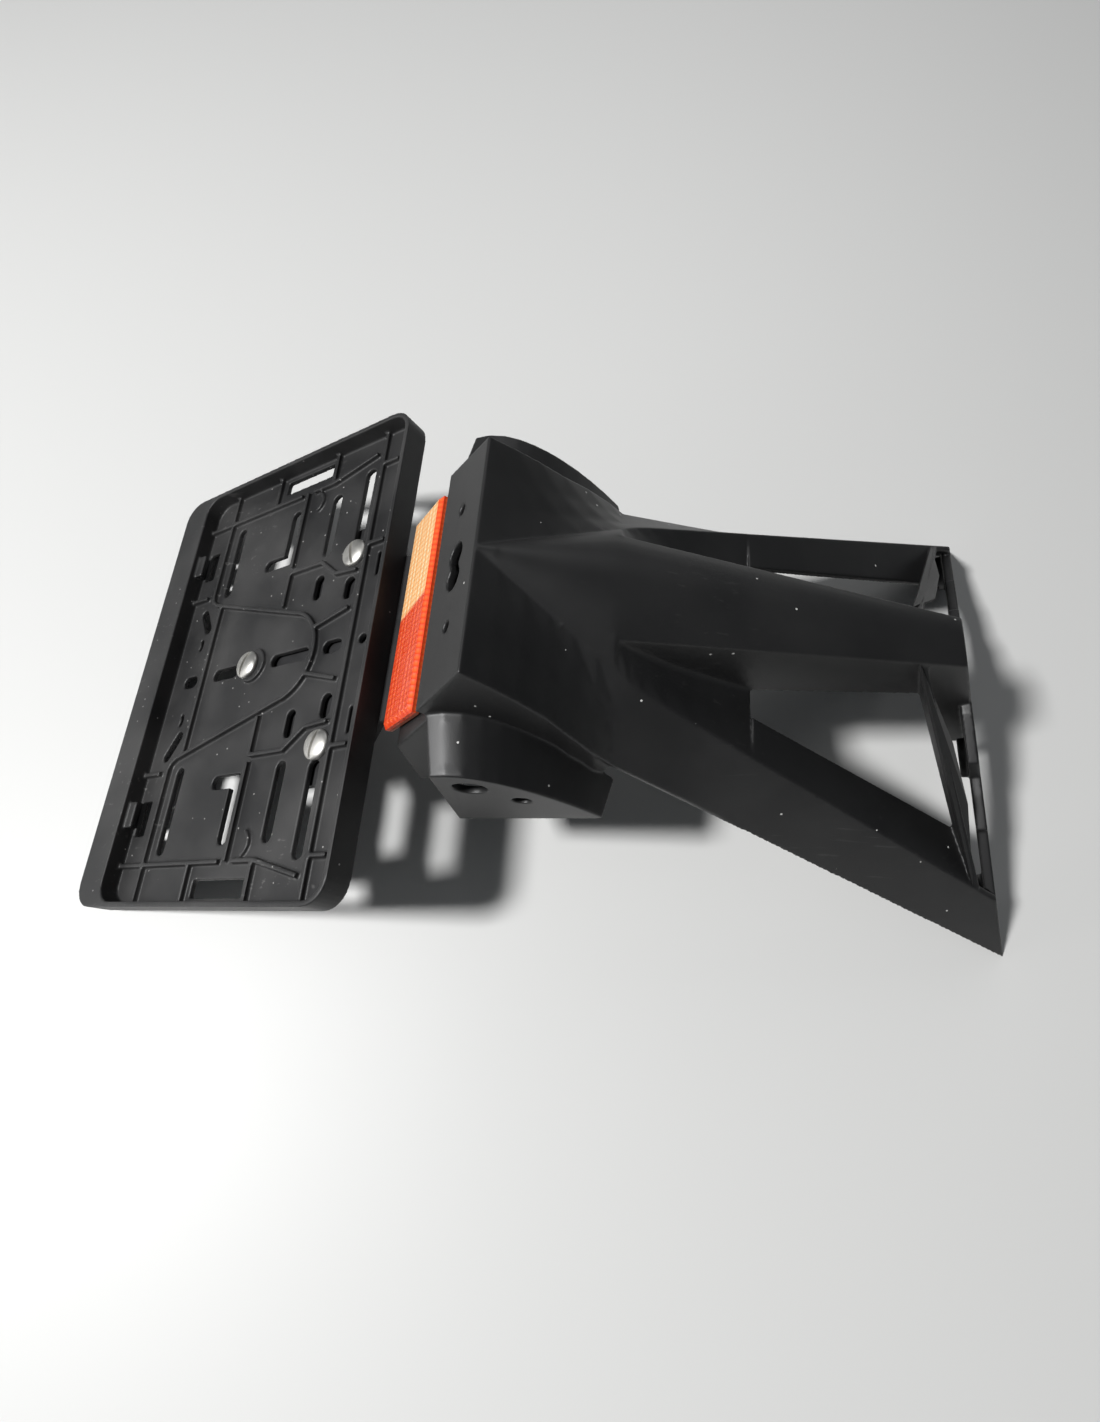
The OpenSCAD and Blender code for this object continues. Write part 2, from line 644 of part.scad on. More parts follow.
// Fasteners
washer_thick = 1;
screw_head_high = 3.2;
nut_high = 4;
thread_over = 1.5;
slot_cut = [screw_head_d + 1, 1.2, 1.4];
slot_turn = 40;
bolt_head_high = 3.5;
bolt_head_d = bolt_d * 1.7;
key_d = bolt_d * 0.7;
module at_screw(i) { at_tray() translate([TRAY_SCREWS[i - 1][0], TRAY_SCREWS[i - 1][1], 0]) children(); }
module washer(thread) {
    difference() {
        cylinder(d = 2 * thread, h = washer_thick);
        translate([0, 0, -1]) cylinder(d = thread + hole_clear, h = washer_thick + 2);
    }
}
module tray_screw(i) color("#b9bbbd") placed() at_screw(i) {
    reach = plate_thick + washer_thick + nut_high + thread_over;
    translate([0, 0, -reach]) cylinder(d = screw_d, h = reach + floor_top + 1);
    difference() {
        translate([0, 0, floor_top + seat_gap]) {
            cylinder(d = screw_head_d, h = screw_head_high / 2);
            translate([0, 0, screw_head_high / 2])
                cylinder(d1 = screw_head_d, d2 = screw_head_d * 0.7, h = screw_head_high / 2);
        }
        translate([0, 0, floor_top + screw_head_high]) rotate([0, 0, slot_turn])
            cube([slot_cut[0], slot_cut[1], 2 * slot_cut[2]], center = true);
    }
}
module tray_washer(i) color("#b9bbbd") placed() at_screw(i)
    translate([0, 0, -plate_thick - washer_thick - seat_gap]) washer(screw_d);
module tray_nut(i) color("#a9abad") placed() at_screw(i)
    translate([0, 0, -plate_thick - washer_thick - nut_high - 2 * seat_gap]) difference() {
        cylinder(d = 1.85 * screw_d, h = nut_high, $fn = 6);
        translate([0, 0, -1]) cylinder(d = screw_d + 2 * seat_gap, h = nut_high + 2);
    }
module carrier_bolt(i) color("#8f9194") placed() at_bolt(i) {
    under = plate_thick + washer_thick + 2 * seat_gap;
    translate([0, 0, -under]) cylinder(d = bolt_d, h = under + insert_long - 1);
    translate([0, 0, -under - bolt_head_high]) difference() {
        cylinder(d = bolt_head_d, h = bolt_head_high);
        translate([0, 0, -1]) cylinder(d = key_d, h = bolt_head_high / 2 + 1, $fn = 6);
    }
}
module carrier_washer(i) color("#b9bbbd") placed() at_bolt(i)
    translate([0, 0, -plate_thick - washer_thick - seat_gap]) washer(bolt_d);
module carrier_insert(i) color("#c8a44a") placed() at_bolt(i) difference() {
    cylinder(d = insert_d, h = insert_long);
    translate([0, 0, -1]) cylinder(d = bolt_d + 2 * seat_gap, h = insert_long + 2);
}
module mount_sleeve(i) color("#b0b2b4") placed() at_sleeve(i) difference() {
    cylinder(d = sleeve_d, h = sleeve_long);
    translate([0, 0, -1]) cylinder(d = sleeve_bore, h = sleeve_long + 2);
}

// Reflector: foam tape, backing and a bevelled lens on the pad
reflector_drop = 21.4;
reflector_mid = face_high + reflector_drop;
bevel = 1.6;
tape_inset = [14, 12];
tape_shift = pad_high / 2 - reflector_drop + 5;
CORNERS = [[-1, -1], [1, -1], [1, 1], [-1, 1]];
lens_ring = function (k) [for (c = CORNERS)
    [c[0] * (reflector_high / 2 - k * bevel), c[1] * (reflector_long / 2 - k * bevel), k * (bevel - seat_gap)]];
module on_pad(out) { at_face() translate([-reflector_mid, 0, out - pad_recess]) children(); }
module slab(high, long, thick) { translate([-high / 2, -long / 2, 0]) cube([high, long, thick]); }
module reflector_tape() color("#3a3a3a") placed() on_pad(seat_gap)
    translate([tape_shift, 0, 0])
        slab(pad_high - tape_inset[0], reflector_long - tape_inset[1], tape_thick - seat_gap);
module reflector_back() color("#7a3a1c") placed() on_pad(tape_thick + seat_gap)
    slab(reflector_high, reflector_long, back_thick - seat_gap);
module reflector_lens() color("#e8641e") placed() on_pad(tape_thick + back_thick + seat_gap) {
    slab(reflector_high, reflector_long, lens_thick - bevel);
    translate([0, 0, lens_thick - bevel]) skin([lens_ring(0), lens_ring(1)]);
}

tail_shell();
plate_carrier();
plate_tray();
tray_screw(1);  // tray_screw_left
tray_screw(2);  // tray_screw_right
tray_screw(3);  // tray_screw_low
tray_washer(1);  // tray_washer_left
tray_washer(2);  // tray_washer_right
tray_washer(3);  // tray_washer_low
tray_nut(1);  // tray_nut_left
tray_nut(2);  // tray_nut_right
tray_nut(3);  // tray_nut_low
carrier_bolt(1);  // carrier_bolt_1
carrier_bolt(2);  // carrier_bolt_2
carrier_bolt(3);  // carrier_bolt_3
carrier_bolt(4);  // carrier_bolt_4
carrier_washer(1);  // carrier_washer_1
carrier_washer(2);  // carrier_washer_2
carrier_washer(3);  // carrier_washer_3
carrier_washer(4);  // carrier_washer_4
carrier_insert(1);  // carrier_insert_1
carrier_insert(2);  // carrier_insert_2
carrier_insert(3);  // carrier_insert_3
carrier_insert(4);  // carrier_insert_4
mount_sleeve(1);  // mount_sleeve_1
mount_sleeve(2);  // mount_sleeve_2
mount_sleeve(3);  // mount_sleeve_3
mount_sleeve(4);  // mount_sleeve_4
reflector_lens();
reflector_back();
reflector_tape();
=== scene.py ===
# %% [markdown]
# A motorbike tail tidy, dressed for the camera.
# The solids come from the CAD model and stay where they are. This script gives them
# rounded edges, moulded plastic, steel and reflector finishes, a pale bench and soft light.
# Everything is in metres, with +Z up and the bench at z = 0.

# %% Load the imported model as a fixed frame
import json
import math

import bmesh
import bpy
import numpy as np
from mathutils import Matrix, Vector


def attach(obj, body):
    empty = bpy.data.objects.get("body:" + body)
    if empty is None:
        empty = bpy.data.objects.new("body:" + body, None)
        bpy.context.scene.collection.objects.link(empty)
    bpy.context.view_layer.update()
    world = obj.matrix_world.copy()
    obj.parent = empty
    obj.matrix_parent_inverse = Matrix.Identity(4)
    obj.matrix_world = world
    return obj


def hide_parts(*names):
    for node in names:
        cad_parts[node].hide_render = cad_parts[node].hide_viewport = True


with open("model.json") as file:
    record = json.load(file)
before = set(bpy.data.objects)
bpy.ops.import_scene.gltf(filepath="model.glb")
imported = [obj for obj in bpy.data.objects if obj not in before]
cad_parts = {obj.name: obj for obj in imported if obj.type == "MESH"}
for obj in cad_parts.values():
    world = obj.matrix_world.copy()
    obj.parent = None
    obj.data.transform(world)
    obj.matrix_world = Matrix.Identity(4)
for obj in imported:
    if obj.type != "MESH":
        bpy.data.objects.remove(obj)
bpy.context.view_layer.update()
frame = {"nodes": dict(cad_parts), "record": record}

print("CAD nodes:", len(frame["nodes"]))

# %% [markdown]
# The photograph was taken from above with a wide lens, so the near side looks larger.
# A camera needs a place, a direction and a focal length. All three were solved from the
# tray, whose four corners form a rectangle of known size, and are written here as they are.
# The two directions are enough: the third is their cross product.

# %% Camera at the photograph's angle
MM = 0.001
camera_place = Vector((37.95, -134.15, 347.05)) * MM
look = Vector((-0.0901, 0.3618, -0.9279)).normalized()
right = Vector((0.9948, 0.0765, -0.0667)).normalized()
upward = right.cross(look)


def new_object(name, data):
    """An object in the scene from a mesh, curve, lamp or camera."""
    made = bpy.data.objects.new(name, data)
    bpy.context.scene.collection.objects.link(made)
    return made


camera_data = bpy.data.cameras.new("photo_camera")
camera_data.lens = 19.24
camera_data.sensor_width = 36
camera = new_object("photo_camera", camera_data)
turn = Matrix((right, upward, -look)).transposed().to_4x4()
camera.matrix_world = Matrix.Translation(camera_place) @ turn
bpy.context.scene.camera = camera
print("camera height above the bench, mm:", round(camera_place.z / MM))

# %% [markdown]
# The bench is plain and pale. A mesh of one big face is enough, because nothing on it needs relief.

# %% Bench and its finish
BENCH_HALF = 3.0


def new_material(name):
    """An empty node material with its Principled BSDF: returns both."""
    made = bpy.data.materials.new(name)
    made.use_nodes = True
    return made, made.node_tree.nodes["Principled BSDF"]


bench_corners = [(BENCH_HALF * x, BENCH_HALF * y, 0) for x, y in ((-1, -1), (1, -1), (1, 1), (-1, 1))]
bench_mesh = bpy.data.meshes.new("bench")
bench_mesh.from_pydata(bench_corners, [], [(0, 1, 2, 3)])
bench = new_object("bench", bench_mesh)
bench_finish, bench_shader = new_material("pale_bench")
bench_shader.inputs["Base Color"].default_value = (0.62, 0.62, 0.61, 1)
bench_shader.inputs["Roughness"].default_value = 0.5
bench_mesh.materials.append(bench_finish)
print("bench:", 2 * BENCH_HALF, "m square")

# %% [markdown]
# The light comes from the left and above. Its direction is read from the bench: the
# streaks of light beside the tray are its slots, thrown to the right by about 0.6 of
# their height. The key lamp is small enough to keep those streaks, and a pale world and
# two weak lamps fill the rest, so that the black plastic has something to reflect.

# %% Lamps and world
LAMP_TARGET = Vector((0, 0, 0.05))


def area_lamp(name, place, size, power):
    """A square lamp that looks at the middle of the object."""
    data = bpy.data.lights.new(name, "AREA")
    data.size = size
    data.energy = power
    lamp = new_object(name, data)
    lamp.location = place
    lamp.rotation_euler = (LAMP_TARGET - Vector(place)).to_track_quat("-Z", "Y").to_euler()


area_lamp("key_lamp", (-0.93, -0.3, 1.5), size=0.22, power=40)
area_lamp("back_lamp", (0.2, 1.5, 1.3), size=1.0, power=4)
area_lamp("left_lamp", (-1.6, -0.5, 0.35), size=0.6, power=3)

world = bpy.data.worlds.new("soft_room")
world.use_nodes = True
sky = world.node_tree.nodes["Background"]
sky.inputs["Color"].default_value = (0.9, 0.95, 1.0, 1)
sky.inputs["Strength"].default_value = 0.1
bpy.context.scene.world = world
bpy.context.scene.view_settings.view_transform = "Standard"
print("lamps:", len(bpy.data.lights))

# %% [markdown]
# A material is a tree of nodes. Writing one out takes many lines that say the same thing,
# so a few helpers come first: a node with its values, a sum, a mix of two colours, a noise
# over the object, a range stretched to go from 0 to 1, and a bump. The sum takes sockets or
# numbers, and the mix takes sockets or plain colours.

# %% Helpers for shader nodes
def add_node(tree, kind, **values):
    """A shader node with some of its settings or inputs filled in."""
    made = tree.nodes.new(kind)
    for key, value in values.items():
        if hasattr(made, key):
            setattr(made, key, value)
        else:
            made.inputs[key.replace("_", " ")].default_value = value
    return made


def math_node(tree, operation, *values):
    """A Math node: each value is a socket to link or a number."""
    made = tree.nodes.new("ShaderNodeMath")
    made.operation = operation
    for place, value in enumerate(values):
        if isinstance(value, (int, float)):
            made.inputs[place].default_value = value
        else:
            tree.links.new(value, made.inputs[place])
    return made.outputs[0]


def mix_colour(tree, share, first, second):
    """Mixes two colours, each a socket or a plain value, by a share that is a socket."""
    made = tree.nodes.new("ShaderNodeMix")
    made.data_type = "RGBA"
    share_socket, first_socket, second_socket, mixed_colour = 0, 6, 7, 2
    tree.links.new(share, made.inputs[share_socket])
    for number, value in ((first_socket, first), (second_socket, second)):
        if isinstance(value, bpy.types.NodeSocket):
            tree.links.new(value, made.inputs[number])
        else:
            made.inputs[number].default_value = (*value, 1)
    return made.outputs[mixed_colour]


def object_place(tree):
    """Position on the object, in metres."""
    return tree.nodes.new("ShaderNodeTexCoord").outputs["Object"]


def noise(tree, scale, detail, stretch=None):
    """A noise value over the object. scale is a socket or a number, in waves a metre."""
    made = add_node(tree, "ShaderNodeTexNoise", Detail=detail)
    place = object_place(tree)
    if stretch:
        mapping = add_node(tree, "ShaderNodeMapping", Scale=stretch[0], Rotation=stretch[1])
        tree.links.new(place, mapping.inputs["Vector"])
        place = mapping.outputs["Vector"]
    tree.links.new(place, made.inputs["Vector"])
    if isinstance(scale, (int, float)):
        made.inputs["Scale"].default_value = scale
    else:
        tree.links.new(scale, made.inputs["Scale"])
    return made.outputs["Fac"]


def spread(tree, value, low, high):
    """Maps low..high to 0..1 and holds it there."""
    made = add_node(tree, "ShaderNodeMapRange", clamp=True, From_Min=low, From_Max=high)
    tree.links.new(value, made.inputs["Value"])
    return made.outputs["Result"]


def add_bump(tree, height, strength, depth_mm, shader):
    """Turns a height into relief on the shader's Normal."""
    bump = add_node(tree, "ShaderNodeBump", Strength=strength, Distance=depth_mm * MM)
    tree.links.new(height, bump.inputs["Height"])
    tree.links.new(bump.outputs["Normal"], shader.inputs["Normal"])


node_helpers = (add_node, math_node, mix_colour, object_place, noise, spread, add_bump)
print("node helpers:", [helper.__name__ for helper in node_helpers])

# %% [markdown]
# Moulded black plastic is never one flat colour. A fine spark-eroded grain scatters the
# light, handling leaves cloudy patches of gloss, and dust and scuffs sit on top.
# Each effect is a node group with named inputs, used by several materials at their own scale.
# A group puts out only values that change over the surface, and the Principled BSDF stays
# in the material.

# %% Grain, dust and scuffs as node groups
GRAIN_DEFAULTS = {"Scale": 2600.0, "Clouds": 24.0}
DUST_DEFAULTS = {"Specks": 90.0, "Speck Size": 0.02}
CELLS_WITHOUT_SPECK = 0.2
SCRATCH_WAVES, SCRATCH_SCALE, SCRATCH_TURN = 60.0, (1, 9, 9), (0, 0, 0.5)
SCUFF_PATCH_WAVES = 11.0


def new_group(name, inputs, outputs):
    """A shader node group: inputs are name to default, outputs are names of float sockets."""
    group = bpy.data.node_groups.new(name, "ShaderNodeTree")
    for label, value in inputs.items():
        socket = group.interface.new_socket(name=label, in_out="INPUT", socket_type="NodeSocketFloat")
        socket.default_value = value
    for label in outputs:
        group.interface.new_socket(name=label, in_out="OUTPUT", socket_type="NodeSocketFloat")
    start = group.nodes.new("NodeGroupInput")
    end = group.nodes.new("NodeGroupOutput")
    return group, start, end


grain_group, grain_in, grain_out = new_group("moulded_grain", GRAIN_DEFAULTS, ["Height", "Cloud"])
fine = noise(grain_group, grain_in.outputs["Scale"], detail=2.0)
cloud = noise(grain_group, grain_in.outputs["Clouds"], detail=4.0)
grain_group.links.new(fine, grain_out.inputs["Height"])
grain_group.links.new(cloud, grain_out.inputs["Cloud"])

dust_group, dust_in, dust_out = new_group("dust_and_scuffs", DUST_DEFAULTS, ["Dust", "Scuff"])
cells = add_node(dust_group, "ShaderNodeTexVoronoi", feature="F1")
dust_group.links.new(object_place(dust_group), cells.inputs["Vector"])
dust_group.links.new(dust_in.outputs["Specks"], cells.inputs["Scale"])
in_speck = math_node(dust_group, "LESS_THAN", cells.outputs["Distance"], dust_in.outputs["Speck Size"])
cell_draw = add_node(dust_group, "ShaderNodeSeparateColor")
dust_group.links.new(cells.outputs["Color"], cell_draw.inputs["Color"])
has_speck = math_node(dust_group, "GREATER_THAN", cell_draw.outputs["Red"], CELLS_WITHOUT_SPECK)
dust_group.links.new(math_node(dust_group, "MULTIPLY", in_speck, has_speck), dust_out.inputs["Dust"])
streaks = noise(dust_group, SCRATCH_WAVES, detail=5.0, stretch=(SCRATCH_SCALE, SCRATCH_TURN))
patches = noise(dust_group, SCUFF_PATCH_WAVES, detail=2.0)
scratch = spread(dust_group, streaks, 0.62, 0.72)
scuffed = spread(dust_group, patches, 0.5, 0.62)
dust_group.links.new(math_node(dust_group, "MULTIPLY", scratch, scuffed), dust_out.inputs["Scuff"])
print("effects:", [group.name for group in bpy.data.node_groups])

# %% [markdown]
# The shell and the tray are the same black polypropylene with different wear.
# One function makes both: the colour is lifted a little where dust or scuffs lie, the gloss
# follows the clouds, and the grain is a bump of some hundredths of a millimetre.

# %% Moulded plastic
FILM_SHARE = 0.35
PLASTIC_BUMP = 0.6


def moulded_plastic(name, colour, rough, cloud_gloss, grain_mm,
                    dust_colour, dust_amount, scuff_amount, specks, speck_size):
    """Black moulded plastic with grain, clouds of gloss, dust specks and scuffs."""
    made, shader = new_material(name)
    tree = made.node_tree
    grain = add_node(tree, "ShaderNodeGroup", node_tree=grain_group)
    dust = add_node(tree, "ShaderNodeGroup", node_tree=dust_group, Specks=specks, Speck_Size=speck_size)
    dusted = math_node(tree, "MULTIPLY", dust.outputs["Dust"], dust_amount)
    scuffs = math_node(tree, "MULTIPLY", dust.outputs["Scuff"], scuff_amount)
    marks = math_node(tree, "MAXIMUM", dusted, scuffs)
    clouds = spread(tree, grain.outputs["Cloud"], 0.4, 0.75)
    film = math_node(tree, "MULTIPLY", clouds, FILM_SHARE * scuff_amount)
    dusty = mix_colour(tree, math_node(tree, "MAXIMUM", marks, film), colour, dust_colour)
    tree.links.new(dusty, shader.inputs["Base Color"])
    gloss = math_node(tree, "MULTIPLY_ADD", grain.outputs["Cloud"], cloud_gloss, rough - cloud_gloss / 2)
    tree.links.new(gloss, shader.inputs["Roughness"])
    add_bump(tree, grain.outputs["Height"], PLASTIC_BUMP, grain_mm, shader)
    shader.inputs["Specular IOR Level"].default_value = 0.5
    return made


shell_plastic = moulded_plastic(
    "shell_plastic", colour=(0.007, 0.007, 0.0073), rough=0.47, cloud_gloss=0.1, grain_mm=0.05,
    dust_colour=(0.6, 0.6, 0.58), dust_amount=0.9, scuff_amount=0.03, specks=100, speck_size=0.045)
tray_plastic = moulded_plastic(
    "tray_plastic", colour=(0.009, 0.009, 0.0095), rough=0.52, cloud_gloss=0.15, grain_mm=0.06,
    dust_colour=(0.4, 0.39, 0.38), dust_amount=0.75, scuff_amount=0.2, specks=170, speck_size=0.06)
print("plastics:", shell_plastic.name, tray_plastic.name)

# %% [markdown]
# Zinc-plated screws are bright with a faint turned grain, the carrier is powder-coated,
# and the inserts are brass. One function makes every metal from its colour and roughness.

# %% Metals
METAL_GRAIN, METAL_CLOUDS = 1500, 160
METAL_SHADE, METAL_GLOSS, METAL_BUMP = 0.75, 0.2, 0.4


def metal(name, colour, rough, metallic, grain_mm):
    """Plated or painted metal with a cloudy gloss and a fine grain."""
    made, shader = new_material(name)
    tree = made.node_tree
    grain = add_node(tree, "ShaderNodeGroup", node_tree=grain_group, Scale=METAL_GRAIN, Clouds=METAL_CLOUDS)
    darker = [channel * METAL_SHADE for channel in colour]
    tint = mix_colour(tree, spread(tree, grain.outputs["Cloud"], 0.3, 0.6), darker, colour)
    tree.links.new(tint, shader.inputs["Base Color"])
    gloss = math_node(tree, "MULTIPLY_ADD", grain.outputs["Cloud"], METAL_GLOSS, rough - METAL_GLOSS / 2)
    tree.links.new(gloss, shader.inputs["Roughness"])
    shader.inputs["Metallic"].default_value = metallic
    add_bump(tree, grain.outputs["Height"], METAL_BUMP, grain_mm, shader)
    return made


zinc_steel = metal("zinc_steel", (0.6, 0.59, 0.56), rough=0.45, metallic=1.0, grain_mm=0.02)
dark_steel = metal("dark_steel", (0.42, 0.42, 0.43), rough=0.38, metallic=1.0, grain_mm=0.02)
brass = metal("insert_brass", (0.78, 0.58, 0.28), rough=0.3, metallic=1.0, grain_mm=0.02)
carrier_paint = metal("carrier_paint", (0.016, 0.016, 0.017), rough=0.5, metallic=0.0, grain_mm=0.08)
print("metals:", zinc_steel.name, dark_steel.name, brass.name, carrier_paint.name)

# %% [markdown]
# A reflector is clear red-orange plastic over rows of tiny corner cubes. They send light straight back, so
# they look like a fine lit grid. Real cubes would cost a million faces, so the grid is a colour and bump
# pattern under a smooth coat, and its colour is partly painted glints. In the photograph the far half of
# the lens is lit and pale and the near half is deep orange, so a slanted line across the lens parts two
# pairs of colours. The pale pair is painted light, which stays lit from any side.

# %% Reflector finishes
LENS_LEAN = math.radians(36)
LENS_OUT = (-math.cos(LENS_LEAN), 0, math.sin(LENS_LEAN))
PRISMS_PER_METRE, PRISM_MM, LENS_BUMP = 420.0, 0.3, 0.5
# Painted light: a slanted line parts the lens, and the front face of its far half gets pale lit colours.
PAINTED_LIGHT_LINE_START, PAINTED_LIGHT_LINE_END, PAINTED_LIGHT_SLANT = -0.02, -0.018, 0.2
DEEP_COLOURS = ((0.95, 0.14, 0.03), (0.7, 0.05, 0.012))
PAINTED_LIGHT_COLOURS = ((1.0, 0.8, 0.5), (0.95, 0.45, 0.15))


def reflector_finish():
    """Red-orange lens with its grid of prisms, whose far half has painted light: pale colours that stay lit
    from any side.
    """
    made, shader = new_material("lens")
    tree = made.node_tree
    place = object_place(tree)
    prisms = add_node(tree, "ShaderNodeTexVoronoi", feature="F1", Scale=PRISMS_PER_METRE, Randomness=0.0)
    tree.links.new(place, prisms.inputs["Vector"])
    grid = spread(tree, prisms.outputs["Distance"], 0.15, 0.6)
    parts = tree.nodes.new("ShaderNodeSeparateXYZ")
    tree.links.new(place, parts.inputs["Vector"])
    slant = math_node(tree, "MULTIPLY", parts.outputs["Z"], PAINTED_LIGHT_SLANT)
    across = math_node(tree, "SUBTRACT", parts.outputs["Y"], slant)
    painted_light_half = spread(tree, across, PAINTED_LIGHT_LINE_START, PAINTED_LIGHT_LINE_END)
    facing = tree.nodes.new("ShaderNodeVectorMath")
    facing.operation = "DOT_PRODUCT"
    tree.links.new(tree.nodes.new("ShaderNodeTexCoord").outputs["Normal"], facing.inputs[0])
    facing.inputs[1].default_value = LENS_OUT
    front = spread(tree, facing.outputs["Value"], 0.9, 0.97)
    # Painted light: where the lens front gets the pale lit colours instead of its deep orange.
    painted_light_mask = math_node(tree, "MULTIPLY", painted_light_half, front)
    deep = mix_colour(tree, grid, *DEEP_COLOURS)
    bright = mix_colour(tree, grid, *PAINTED_LIGHT_COLOURS)
    tree.links.new(mix_colour(tree, painted_light_mask, deep, bright), shader.inputs["Base Color"])
    add_bump(tree, grid, LENS_BUMP, PRISM_MM, shader)
    shader.inputs["Roughness"].default_value = 0.3
    shader.inputs["Coat Weight"].default_value = 1.0
    shader.inputs["Coat Roughness"].default_value = 0.06
    return made


lens = reflector_finish()
lens_back = moulded_plastic(
    "lens_back", colour=(0.22, 0.05, 0.02), rough=0.5, cloud_gloss=0.1, grain_mm=0.03,
    dust_colour=(0.5, 0.4, 0.3), dust_amount=0.3, scuff_amount=0.1, specks=160, speck_size=0.05)
foam_tape = moulded_plastic(
    "foam_tape", colour=(0.03, 0.03, 0.03), rough=0.9, cloud_gloss=0.1, grain_mm=0.3,
    dust_colour=(0.2, 0.2, 0.2), dust_amount=0.3, scuff_amount=0.1, specks=160, speck_size=0.05)
print("reflector finishes:", lens.name, lens_back.name, foam_tape.name)

# %% [markdown]
# A CAD solid has knife edges, but a mould leaves every edge a little round, and those
# edges catch the light. A bevel fails on this mesh, whose twisted faces meet at slivers.
# A voxel remesh gives one even skin, and some smoothing rounds its edges. The voxels leave
# small steps on slanted faces, so the skin is first pressed onto the CAD faces. Then the
# points away from every edge are smoothed much longer than the edges, and the skin is
# thinned by a decimation at the end.

# %% Tools for rounded mouldings
VOXEL_MM = 0.5
MOST_TRIANGLES = 190000
SMOOTH_FACTOR = 0.5
EDGE_DEGREES, EDGE_RINGS = 7, 4
FLAT_STEPS = 100


def apply_modifiers(piece):
    """Turns what the modifiers make into the piece's own mesh."""
    bpy.context.view_layer.update()
    seen = piece.evaluated_get(bpy.context.evaluated_depsgraph_get())
    made = bpy.data.meshes.new_from_object(seen)
    piece.modifiers.clear()
    piece.data = made


def mark_flats(piece):
    """Puts the points away from sharp edges in a vertex group named flats."""
    mesh = piece.data
    ends = np.empty(2 * len(mesh.edges), dtype=np.int32)
    mesh.edges.foreach_get("vertices", ends)
    ends = ends.reshape(-1, 2)
    normals = np.empty(3 * len(mesh.vertices), dtype=np.float32)
    mesh.vertex_normals.foreach_get("vector", normals)
    normals = normals.reshape(-1, 3)
    bends = np.einsum("ij,ij->i", normals[ends[:, 0]], normals[ends[:, 1]])
    sharp = np.zeros(len(mesh.vertices), dtype=bool)
    sharp[ends[bends < math.cos(math.radians(EDGE_DEGREES))].ravel()] = True
    for _ in range(EDGE_RINGS):
        touched = sharp[ends].any(axis=1)
        sharp[ends[touched].ravel()] = True
    flats = piece.vertex_groups.new(name="flats")
    flats.add(np.flatnonzero(~sharp).tolist(), 1.0, "REPLACE")


def add_smooth(piece, steps, group=""):
    """A Smooth modifier on the whole piece, or on one vertex group."""
    made = piece.modifiers.new("smooth", "SMOOTH")
    made.iterations = steps
    made.factor = SMOOTH_FACTOR
    made.vertex_group = group


def soft_skin(piece, smooth_steps, model=None):
    """One even skin with soft edges over a piece, pressed onto a model's faces and thinned."""
    remesh = piece.modifiers.new("remesh", "REMESH")
    remesh.mode = "VOXEL"
    remesh.voxel_size = VOXEL_MM * 1 * MM
    if model:
        press = piece.modifiers.new("press", "SHRINKWRAP")
        press.target = model
        press.wrap_method = "NEAREST_SURFACEPOINT"
    add_smooth(piece, smooth_steps)
    apply_modifiers(piece)
    if model:
        mark_flats(piece)
        add_smooth(piece, FLAT_STEPS, "flats")
        apply_modifiers(piece)
        piece.vertex_groups.clear()
    thin = piece.modifiers.new("thin", "DECIMATE")
    thin.ratio = min(1.0, MOST_TRIANGLES / (2 * len(piece.data.polygons)))
    apply_modifiers(piece)
    for face in piece.data.polygons:
        face.use_smooth = True


def settle(piece, finish, node):
    """Gives a piece its finish and lets it stand in for a CAD node."""
    piece.data.materials.clear()
    piece.data.materials.append(finish)
    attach(piece, "root")
    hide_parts(node)


print("voxels of", VOXEL_MM, "mm")

# %% [markdown]
# The shell is one moulding, and its shape in the CAD model is right, so its mesh is copied
# and only its edges change. Points that lie together are welded first, because a remesh
# needs a closed mesh.

# %% Shell
SHELL_SMOOTH = 10
WELD_MM = 0.01

shell_node = frame["nodes"]["tail_shell"]
shell = new_object("shell_moulding", shell_node.data.copy())
shell.matrix_world = shell_node.matrix_world.copy()
weld = shell.modifiers.new("weld", "WELD")
weld.merge_threshold = WELD_MM * MM
soft_skin(shell, SHELL_SMOOTH, shell_node)
settle(shell, shell_plastic, "tail_shell")
print("shell faces:", len(shell.data.polygons))

# %% [markdown]
# A thin wall closes the pocket between each web and its mounting flange. The photograph shows it as a facet
# beside the web's upper edge. It is a folded plate on four corners, whose eight faces are listed one by
# one, because there are so few.

# %% Covers between the webs and the flanges
COVER_CORNERS = [(143.2, 11.6, 95.4), (162.8, 30.8, 69.0), (171.7, 50.2, 55.3), (178.4, 78.0, 36.5)]
COVER_FACES = [(0, 1, 2), (0, 2, 3), (4, 6, 5), (4, 7, 6),
               (0, 4, 5, 1), (1, 5, 6, 2), (2, 6, 7, 3), (3, 7, 4, 0)]
COVER_THICK = 2.2


def web_cover(name, side):
    """A folded plate beside one web: side is 1 or -1."""
    top = [Vector((x, side * y, z)) * MM for x, y, z in COVER_CORNERS]
    bottom = [point - Vector((0, 0, COVER_THICK * MM)) for point in top]
    mesh = bpy.data.meshes.new(name)
    mesh.from_pydata([tuple(point) for point in top + bottom], [], COVER_FACES)
    body = bmesh.new()
    body.from_mesh(mesh)
    bmesh.ops.recalc_face_normals(body, faces=body.faces)
    body.to_mesh(mesh)
    body.free()
    piece = new_object(name, mesh)
    mesh.materials.append(shell_plastic)
    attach(piece, "root")
    return piece


covers = [web_cover("web_cover_left", 1), web_cover("web_cover_right", -1)]
print("covers:", [piece.name for piece in covers])

